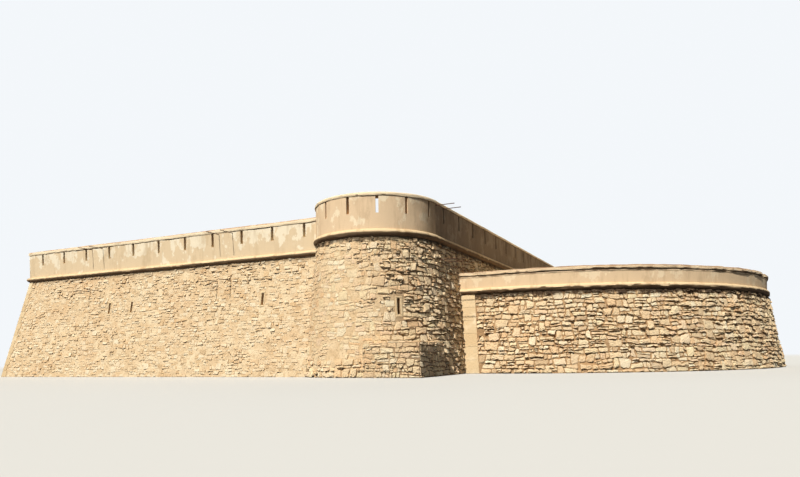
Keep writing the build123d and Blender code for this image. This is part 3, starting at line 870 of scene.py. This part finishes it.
def front_and_back():
    """The long walls and the frames of their slits."""
    low, high = SLIT_LOW, SLIT_HIGH
    blocks = ((-FRAME, -JAMB, low, high, 0.010, 0.006), (JAMB, FRAME, low, high, 0.010, 0.006),
              (-FRAME, FRAME, high + 0.002, high + HEAD, 0.012, 0.008),
              (-FRAME, FRAME, low - HEAD, low - 0.002, 0.012, 0.008))
    for side, name in reversed(SIDES):
        boxes = quoin_boxes(True)
        boxes += [(x - LAND_X - FRAME, x - LAND_X + FRAME, low - HEAD, high + HEAD) for x in SLITS]
        stones = low_stones(11 + side, FRONT.length, boxes)
        stones.piece(f"{name}_wall_rubble", FRONT.at, FINE, "fine_rubble", side)
        trim = Stones(31 + side)
        for x in SLITS:
            for s0, s1, z0, z1, lift, edge in blocks:
                trim.block(x - LAND_X + s0, x - LAND_X + s1, z0, z1, lift, 0.001, edge)
        trim.piece(f"{name}_wall_slit_frames", FRONT.at, ASHLAR, "ashlar", side)


def corner_quoins():
    """Dressed blocks that turn the two landward corners."""
    inward, joint = 0.03, 0.0012
    for side, name in reversed(SIDES):
        points, faces = [], []
        rng = random.Random(71 + side)
        for index in range(QUOINS):
            long = index % 2 == 0
            lift = 0.012 + rng.uniform(-0.001, 0.002)
            first = len(points)
            for level in (index * QUOIN + joint, (index + 1) * QUOIN - joint):
                lean = BATTER * (LOW_SCARP - level)
                x, y = LAND_X - lean, -FACE_Y - lean
                front_end = LAND_X + corner_reach(level, long)
                land_end = -FACE_Y + corner_reach(level, not long)
                ring = [(x - lift, y - lift), (front_end, y - lift), (front_end, y + inward),
                        (x + inward, y + inward), (x + inward, land_end), (x - lift, land_end)]
                points += [(px + rng.uniform(-0.002, 0.002), py, level) for px, py in ring]
            for corner in range(6):
                after = (corner + 1) % 6
                faces.append((first + corner, first + after, first + 6 + after, first + 6 + corner))
            faces.append(tuple(first + corner for corner in range(5, -1, -1)))
            faces.append(tuple(first + 6 + corner for corner in range(6)))
        piece = new_piece(f"{name}_corner_quoins", points, faces, ASHLAR, side)
        bevel = piece.modifiers.new("worn", "BEVEL")
        bevel.width, bevel.segments, bevel.limit_method = 0.005, 2, "ANGLE"


def land():
    """The land wall and the dressed frame of its gateway."""
    middle, top = LAND.length / 2, COURT + GATE_TALL
    gate = (middle - LINTEL_HALF, middle + LINTEL_HALF, COURT - 0.02, top + LINTEL_TALL)
    boxes = quoin_boxes(False) + quoin_boxes(False, LAND.length) + [gate]
    low_stones(51, LAND.length + SPREAD, boxes).piece("land_wall_rubble", LAND.at, FINE, "fine_rubble")
    trim = Stones(61)
    z, tall, long = COURT, 0.1625, True
    while z < top - 0.02:
        wide = 0.16 if long else 0.11
        trim.block(middle - GATE_HALF - wide, middle - GATE_HALF, z, z + tall, 0.016, 0.002, 0.01)
        trim.block(middle + GATE_HALF, middle + GATE_HALF + wide, z, z + tall, 0.016, 0.002, 0.01)
        z, long = z + tall, not long
    for index in range(7):
        s0 = middle - LINTEL_HALF + index * 0.16
        trim.block(s0, s0 + 0.16, top, top + LINTEL_TALL, 0.018, 0.002, 0.01)
    trim.piece("gateway_frame", LAND.at, ASHLAR, "ashlar")


def high_walls():
    """Rough rubble of the towers and the flank wall, laid as one run and cut into three pieces."""
    slit = (TOWER_SLIT - SEA_START) * TOWER_MID
    low, high = TOWER_SLIT_LOW, TOWER_SLIT_HIGH
    half, under, over = 0.088, 0.07, 0.045
    holes = [(slit - half, slit + half, low - under, high + over)]
    holes += [(SEA.length - s1, SEA.length - s0, z0, z1) for s0, s1, z0, z1 in holes]
    names = ("front_tower_rubble", "flank_wall_rubble", "back_tower_rubble")
    pieces = [Stones(81), Stones(82), Stones(83)]
    for polygon in courses(80, 0.0, SEA.length, 0.0, HIGH_SCARP - UNDER_CORDON, height=0.106, longest=2.8,
                           split=0.26, boxes=holes):
        s, z = middle_of(polygon)
        made = pieces[0 if s < TOWER_END else 1 if s < FLANK_END else 2]
        reach = min(s, SEA.length - s) / TOWER_END
        loose = max(0.0, (z - 2.75) / 0.5, (0.75 - z) / 0.6) * min(1.0, reach / 0.2)
        worn = (reach + 0.16 * patchy(s, z, 3) + 0.05 * z - 0.55) / 0.32
        rough = min(1.0, max(0.12, loose, worn))
        if made.rng.random() < 0.26 - 0.30 * rough:
            continue
        lift = made.rng.uniform(0.003, 0.011) + rough * 0.066 * made.rng.random() ** 1.2
        plain = rough < 0.3 or made.rng.random() < 0.3
        made.add(polygon, 0.001 + 0.005 * rough, lift, small=plain, loss=0.9 - 0.45 * rough)
    for made, name in zip(pieces, names):
        made.piece(name, SEA.at, COARSE, "coarse_rubble")
    for side, name in SIDES:
        trim = Stones(91 + side)
        for s0, s1, z0, z1, lift in ((-half, half, low - under, low, 0.010), (-half, -JAMB, low, high, 0.010),
                                     (JAMB, half, low, high, 0.010), (-half, half, high, high + over, 0.012)):
            trim.block(slit + s0, slit + s1, z0, z1, lift, 0.001)
        trim.piece(f"{name}_tower_slit_frame", SEA.at, ASHLAR, "ashlar", side)


def battery():
    """The battery's rubble and the blocks of its end piers, whose outer edge leans."""
    made = Stones(101)

    def pier_edge(z):
        return PIER_END - FLANK_X + 0.11 * (SEA_SCARP - z)

    steps_up, blocks, far = 16, 6, 1.0
    boxes = []
    for index in range(steps_up):
        z, top = SEA_SCARP * index / steps_up, SEA_SCARP * (index + 1) / steps_up
        edge = pier_edge((z + top) / 2)
        boxes += [(-far, edge, z, top), (ROUND.length - edge, ROUND.length + far, z, top)]
    for polygon in courses(100, 0.0, ROUND.length, 0.0, SEA_SCARP - UNDER_CORDON, height=0.113, longest=3.1,
                           split=0.24, boxes=boxes):
        s, z = polygon[0]
        rough = 0.35 + 0.6 * patchy(s, z, 5) + 0.25 * math.sin(math.pi * s / ROUND.length) ** 2
        lift = made.rng.uniform(0.010, 0.024) + rough * 0.070 * made.rng.random()
        made.add(polygon, 0.002 + 0.005 * rough, lift)
    made.piece("battery_rubble", ROUND.at, SHORE, "coarse_rubble")
    for side, name in SIDES:
        trim = Stones(111 + side)
        for index in range(blocks):
            z, top = SEA_SCARP * index / blocks, SEA_SCARP * (index + 1) / blocks
            hidden = TOWER_BATTER * (HIGH_SCARP - top) - 0.02
            trim.block(hidden, pier_edge(z), z, top, 0.014, 0.0006, 0.004, lean=pier_edge(z) - pier_edge(top))
        trim.piece(f"{name}_pier_blocks", ROUND.at, ASHLAR, "ashlar", side)


def footing():
    """The square footing of the front tower."""
    wide, tall = FOOTING_WIDE, FOOTING_TALL
    x0, x1 = TOWER_X + (TOWER_BASE - wide), TOWER_X + TOWER_BASE
    y0 = -INNER_Y - TOWER_BASE

    def crown(s, across, lift):
        return np.stack([x0 + s, y0 + across, tall + lift], 1)

    front = Wall([Line((x0, y0), (1, 0), wide)], tall, 0.0)
    inner = Wall([Line((x1, y0), (0, 1), wide)], tall, 0.0)
    for name, wall_at, seed, rise in (("front", front.at, 121, tall), ("side", inner.at, 122, tall),
                                      ("top", crown, 123, wide)):
        made = Stones(seed)
        for polygon in courses(seed, 0.0, wide, 0.0, rise, height=0.11, longest=3.6, split=0.2, tall=0.04):
            made.add(polygon, 0.005, made.rng.uniform(0.010, 0.045), loss=0.4)
        made.piece(f"footing_{name}_rubble", wall_at, COARSE, "coarse_rubble")


def court():
    """The inner faces of the walls, round the court and through the tower chambers."""
    room = TOWER_R - WALL
    west, east = LAND_X + WALL, TOWER_X - room
    ring = Wall([
        Line((east, -INNER_Y), (-1, 0), east - west),
        Line((west, -INNER_Y), (0, 1), 2 * INNER_Y),
        Line((west, INNER_Y), (1, 0), east - west),
        Arc((TOWER_X, INNER_Y), -room, 0.0, -math.pi, room),
        Line((TOWER_X + room, INNER_Y), (0, -1), 2 * INNER_Y),
        Arc((TOWER_X, -INNER_Y), -room, math.pi, 0.0, room)], HIGH_SCARP, 0.0)
    starts = ring.starts
    half, clear = 0.045, 0.01
    boxes = [(starts[0] - 1, starts[3], LOW_SCARP - 0.004, HIGH_TOP)]
    for x in SLITS:
        for s in (east - x, starts[2] + x - west):
            boxes.append((s - half, s + half, SLIT_LOW - clear, SLIT_HIGH + clear))
    middle, gate = starts[1] + INNER_Y, GATE_HALF + clear
    boxes.append((middle - gate, middle + gate, COURT - 0.02, COURT + GATE_TALL + clear))
    for s in (starts[3] + (math.pi + TOWER_SLIT) * room, starts[5] - TOWER_SLIT * room):
        boxes.append((s - half, s + half, TOWER_SLIT_LOW - clear, TOWER_SLIT_HIGH + clear))
    names = ("court_front", "court_land", "court_back", "back_chamber", "court_flank", "front_chamber")
    pieces = [Stones(141 + index) for index in range(len(names))]
    for polygon in courses(140, 0.0, ring.length, COURT, HIGH_SCARP - UNDER_CORDON, height=0.165, longest=2.8,
                           split=0.2, tall=0.1, boxes=boxes):
        s, _ = middle_of(polygon)
        which = min(5, int(np.searchsorted(starts, s, side="right")) - 1)
        made = pieces[which]
        polygon = between(polygon, starts[which], starts[which + 1])
        made.add(polygon, 0.004, made.rng.uniform(0.004, 0.022), small=True, loss=0.6)
    for made, name in zip(pieces, names):
        made.piece(f"{name}_rubble", ring.at, FINE, "fine_rubble")


def flags():
    """Worn paving of the battery's platform."""
    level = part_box("battery_platform")[1].z
    limit = BATTERY_R - BATTERY_PARAPET - 0.02
    made = Stones(161)
    for polygon in courses(160, -limit, limit, 0.0, BATTERY_X + limit - FLANK_X, height=0.34, longest=1.9,
                           split=0.0, tall=0.1, chips=0.2):
        if max(math.hypot(s, max(0.0, FLANK_X + across - BATTERY_X)) for s, across in polygon) <= limit:
            made.add(polygon, 0.004, made.rng.uniform(0.004, 0.010), loss=0.0, rough=0.12)
    made.piece("battery_flags", lambda s, across, lift: np.stack([FLANK_X + across, -s, level + lift], 1),
               FLAGS, "paving")


def nose_profile(inner, low, high):
    """A cordon: a half round in front of a flat course."""
    radius = (high - low) / 2
    profile = [(-inner, low, 0.0), (0.0, low, 0.0)]
    for step in range(9):
        angle = -math.pi / 2 + math.pi * step / 8
        share = 1.7 if angle < -0.2 else 0.7
        out = CORDON_NOSE - radius + radius * math.cos(angle)
        profile.append((out, low + radius + radius * math.sin(angle), share))
    return profile + [(-inner, high, 0.0)]


def cap_profile(low, high, thick, lip):
    """A coping with a lip on both sides and worn upper edges."""
    rise = high - low
    return [
        (-thick - lip, low, 0.3), (-0.01, low, 0.0), (lip, low, 1.0), (lip + 0.006, low + rise * 0.3, 0.9),
        (lip + 0.002, low + rise * 0.62, 0.8), (lip - 0.02, low + rise * 0.88, 0.8), (lip - 0.06, high, 0.7),
        (-thick / 2, high + 0.004, 0.6), (-thick + 0.04, high, 0.6),
        (-thick - lip + 0.01, low + rise * 0.75, 0.5)]


def battery_cap():
    """The battery's coping: a thin course with a groove above it and a heavy one on top."""
    low, high, thick = SEA_EAVES, SEA_TOP, BATTERY_PARAPET
    return [
        (-thick - 0.04, low, 0.2), (-0.01, low, 0.0), (0.010, low, 0.3), (0.014, low + 0.012, 0.6),
        (0.012, low + 0.022, 1.2), (-0.030, low + 0.026, 0.6), (-0.034, low + 0.048, 0.6),
        (0.036, low + 0.056, 1.4), (0.044, low + 0.080, 1.2), (0.036, low + 0.118, 1.2),
        (0.006, high - 0.006, 0.9), (-0.08, high, 0.7), (-thick / 2, high + 0.002, 0.6),
        (-thick + 0.05, high - 0.004, 0.6), (-thick - 0.04, low + 0.12, 0.5)]


def broken(rng, s, outward, level):
    """Lost chips along the upper edge of the battery's coping, whose profile points 7 to 10 it moves."""
    for _ in range(30):
        centre, size = rng.uniform(s[0], s[-1]), rng.uniform(0.06, 0.32)
        deep = rng.uniform(0.010, 0.032)
        share = np.clip(1 - np.abs(s - centre) / size, 0, 1) ** 0.5
        for index, part in ((7, 0.8), (8, 1.0), (9, 1.0), (10, 0.7)):
            outward[:, index] -= share * deep * part
        level[:, 10] -= share * deep * 0.25


def mouldings():
    """The cordons and copings, which stand for the CAD nodes of the same kind."""
    step, corner = 0.06, math.radians(6.3)
    low_cordon = nose_profile(WALL, LOW_SCARP, LOW_WALK)
    low_cap = cap_profile(LOW_EAVES, LOW_TOP, PARAPET, COPING_LIP)
    for kind, end, profile, wobble, material in (
            ("cordon", FRONT.length, low_cordon, 0.006, CORDON),
            ("coping", FRONT.length - 0.08, low_cap, 0.012, COPING)):
        for side, name in SIDES:
            band([(f"{name}_{kind}_run", f"{name}_wall_{kind}")], FRONT, [0.0, end], step, profile, wobble,
                 material, side, 5 + side, mitre=(1, 0))
        band([(f"land_{kind}_run", f"land_wall_{kind}")], LAND, [0.0, LAND.length], step, profile, wobble,
             material, 1, 9, mitre=(1, 1))
    for kind, start, profile, wobble, material in (
            ("cordon", corner * TOWER_MID, nose_profile(PARAPET, HIGH_SCARP, HIGH_WALK), 0.007, CORDON),
            ("coping", 0.0, cap_profile(HIGH_EAVES, HIGH_TOP, PARAPET, COPING_LIP), 0.010, TOWER_COPING)):
        parts = [(f"{name}_{kind}_run", f"{node}_{kind}") for name, node in (
            ("front_tower", "front_tower"), ("flank", "flank_wall"), ("back_tower", "back_tower"))]
        band(parts, SEA, [start, TOWER_END, FLANK_END, SEA.length - start], step, profile, wobble, material,
             1, 15)
    band([("battery_cordon_run", "battery_cordon")], ROUND, [0.0, ROUND.length], step,
         nose_profile(BATTERY_PARAPET, SEA_SCARP, SEA_WALK), 0.012, CORDON, 1, 17)
    band([("battery_coping_run", "battery_coping")], ROUND, [0.0, ROUND.length], 0.035,
         battery_cap(), 0.012, SEA_COPING, 1, 19, broken)


def plaster_coats():
    """The plaster of every parapet, from one end of its wall to the other."""
    fronts = [TOWER_PLACE - NEAR_TOWER - place * FRONT_PITCH for place in range(11)]
    end = TOWER_X - LAND_X - math.sqrt(TOWER_R ** 2 - WALL ** 2) - 0.004
    for (side, name), seed in zip(SIDES, (201, 202)):
        coat(f"{name}_wall_plaster", FRONT, (-PLASTER, end), fronts, LOW_LEVELS, LOW_PLASTER, seed, side)
    lands = [FACE_Y + (place - 7) * LAND_PITCH for place in range(15)]
    ends = (-PLASTER, LAND.length + PLASTER)
    coat("land_wall_plaster", LAND, ends, lands, LOW_LEVELS, LOW_PLASTER, 203)
    slits = [(math.radians(TOWER_FIRST - TOWER_STEP * place) - SEA_START) * TOWER_MID for place in range(5)]
    start = (math.asin(WALL / TOWER_R) - math.pi - SEA_START) * TOWER_MID + 0.01
    for (side, name), seed in zip(SIDES, (204, 205)):
        coat(f"{name}_tower_plaster", SEA, (start, TOWER_END), slits, HIGH_LEVELS, TOWER_PLASTER, seed, side)
    flanks = [TOWER_END + FLANK_FIRST + place * FLANK_PITCH for place in range(13)]
    coat("flank_wall_plaster", SEA, (TOWER_END, FLANK_END), flanks, HIGH_LEVELS, FLANK_PLASTER, 206)
    coat("battery_plaster", ROUND, (0.0, ROUND.length), [], SEA_LEVELS, SEA_PLASTER, 207)


high_walls()
front_and_back()
corner_quoins()
land()
battery()
footing()
court()
flags()
mouldings()
plaster_coats()

# The camera that was fitted to the photograph, with a level view.
FOCAL, SENSOR, SHIFT = 28.91, 36.0, (-0.0023, 0.1456)
HEADING, ROLL = Vector((-0.4258, 0.9048, 0)), math.radians(-0.90)
STAND = Vector((TOWER_X + 7.5, -INNER_Y - 14.635, 0.5))
BACKGROUND = (0.90, 0.93, 0.96, 1)


def camera():
    """The photograph's view."""
    data = bpy.data.cameras.new("camera")
    data.lens, data.sensor_width, data.sensor_fit = FOCAL, SENSOR, "HORIZONTAL"
    data.shift_x, data.shift_y = SHIFT
    data.clip_end = 500
    holder = new_object("camera", data)
    forward, up = HEADING.normalized(), Vector((0, 0, 1))
    right = forward.cross(up).normalized()
    across = right * math.cos(ROLL) + up * math.sin(ROLL)
    upward = up * math.cos(ROLL) - right * math.sin(ROLL)
    turned = Matrix((across, upward, -forward)).transposed()
    holder.matrix_world = Matrix.Translation(STAND) @ turned.to_4x4()
    bpy.context.scene.camera = holder


def lights():
    """A sun as in the photograph, a soft light for the far sides, and a pale sky."""
    for name, energy, spread, colour, towards in (
            ("sun", 4.7, 1.5, (1.0, 0.985, 0.95), (-0.08, -1.0, 1.2)),
            ("soft_back_light", 0.75, 40.0, (0.93, 0.96, 1.0), (-0.5, 1.0, 0.45))):
        data = bpy.data.lights.new(name, "SUN")
        data.energy, data.angle, data.color = energy, math.radians(spread), colour
        new_object(name, data).rotation_euler = Vector(towards).to_track_quat("Z", "Y").to_euler()
    world = bpy.data.worlds.new("sky")
    bpy.context.scene.world = world
    world.use_nodes = True
    tree = world.node_tree
    tree.nodes.clear()
    shown = add_node(tree, "LightPath", "Is Camera Ray")
    rays = shown.node
    for kind in ("Is Glossy Ray", "Is Transmission Ray"):
        shown = add_node(tree, "Math", 0, {0: shown, 1: rays.outputs[kind]}, operation="MAXIMUM")
    fill = add_node(tree, "Background", 0, {0: (0.80, 0.90, 1.0, 1), 1: 0.16})
    back = add_node(tree, "Background", 0, {0: BACKGROUND, 1: 1.0})
    blend = add_node(tree, "MixShader", 0, {0: shown, 1: fill, 2: back})
    tree.links.new(blend, tree.nodes.new("ShaderNodeOutputWorld").inputs["Surface"])


def floor():
    """A pale floor that fades into the background far away and throws little light back."""
    s = Shader("pale_floor", None, 1.0, 0.0)
    seen = s.node("LightPath", "Is Camera Ray")
    s.colour = s.mix(seen, (106, 108, 114), (206, 203, 196))
    s.finish()
    far = s.ramped(s.node("VectorMath", "Value", {0: s.place}, operation="LENGTH"), 26.0, 60.0)
    glow = s.node("Emission", 0, {0: BACKGROUND})
    blend = s.node("MixShader", 0, {0: s.math("MULTIPLY", far, seen), 1: s.surface, 2: glow})
    s.tree.links.new(blend, s.out)
    size = 150.0
    mesh = bpy.data.meshes.new("floor")
    corners = [(-size, -size, 0), (size, -size, 0), (size, size, 0), (-size, size, 0)]
    mesh.from_pydata(corners, [], [(0, 1, 2, 3)])
    mesh.materials.append(s.material)
    ground = new_object("floor", mesh)
    ground.location.z = -0.002


camera()
lights()
floor()
bpy.context.scene.view_settings.view_transform = "Standard"
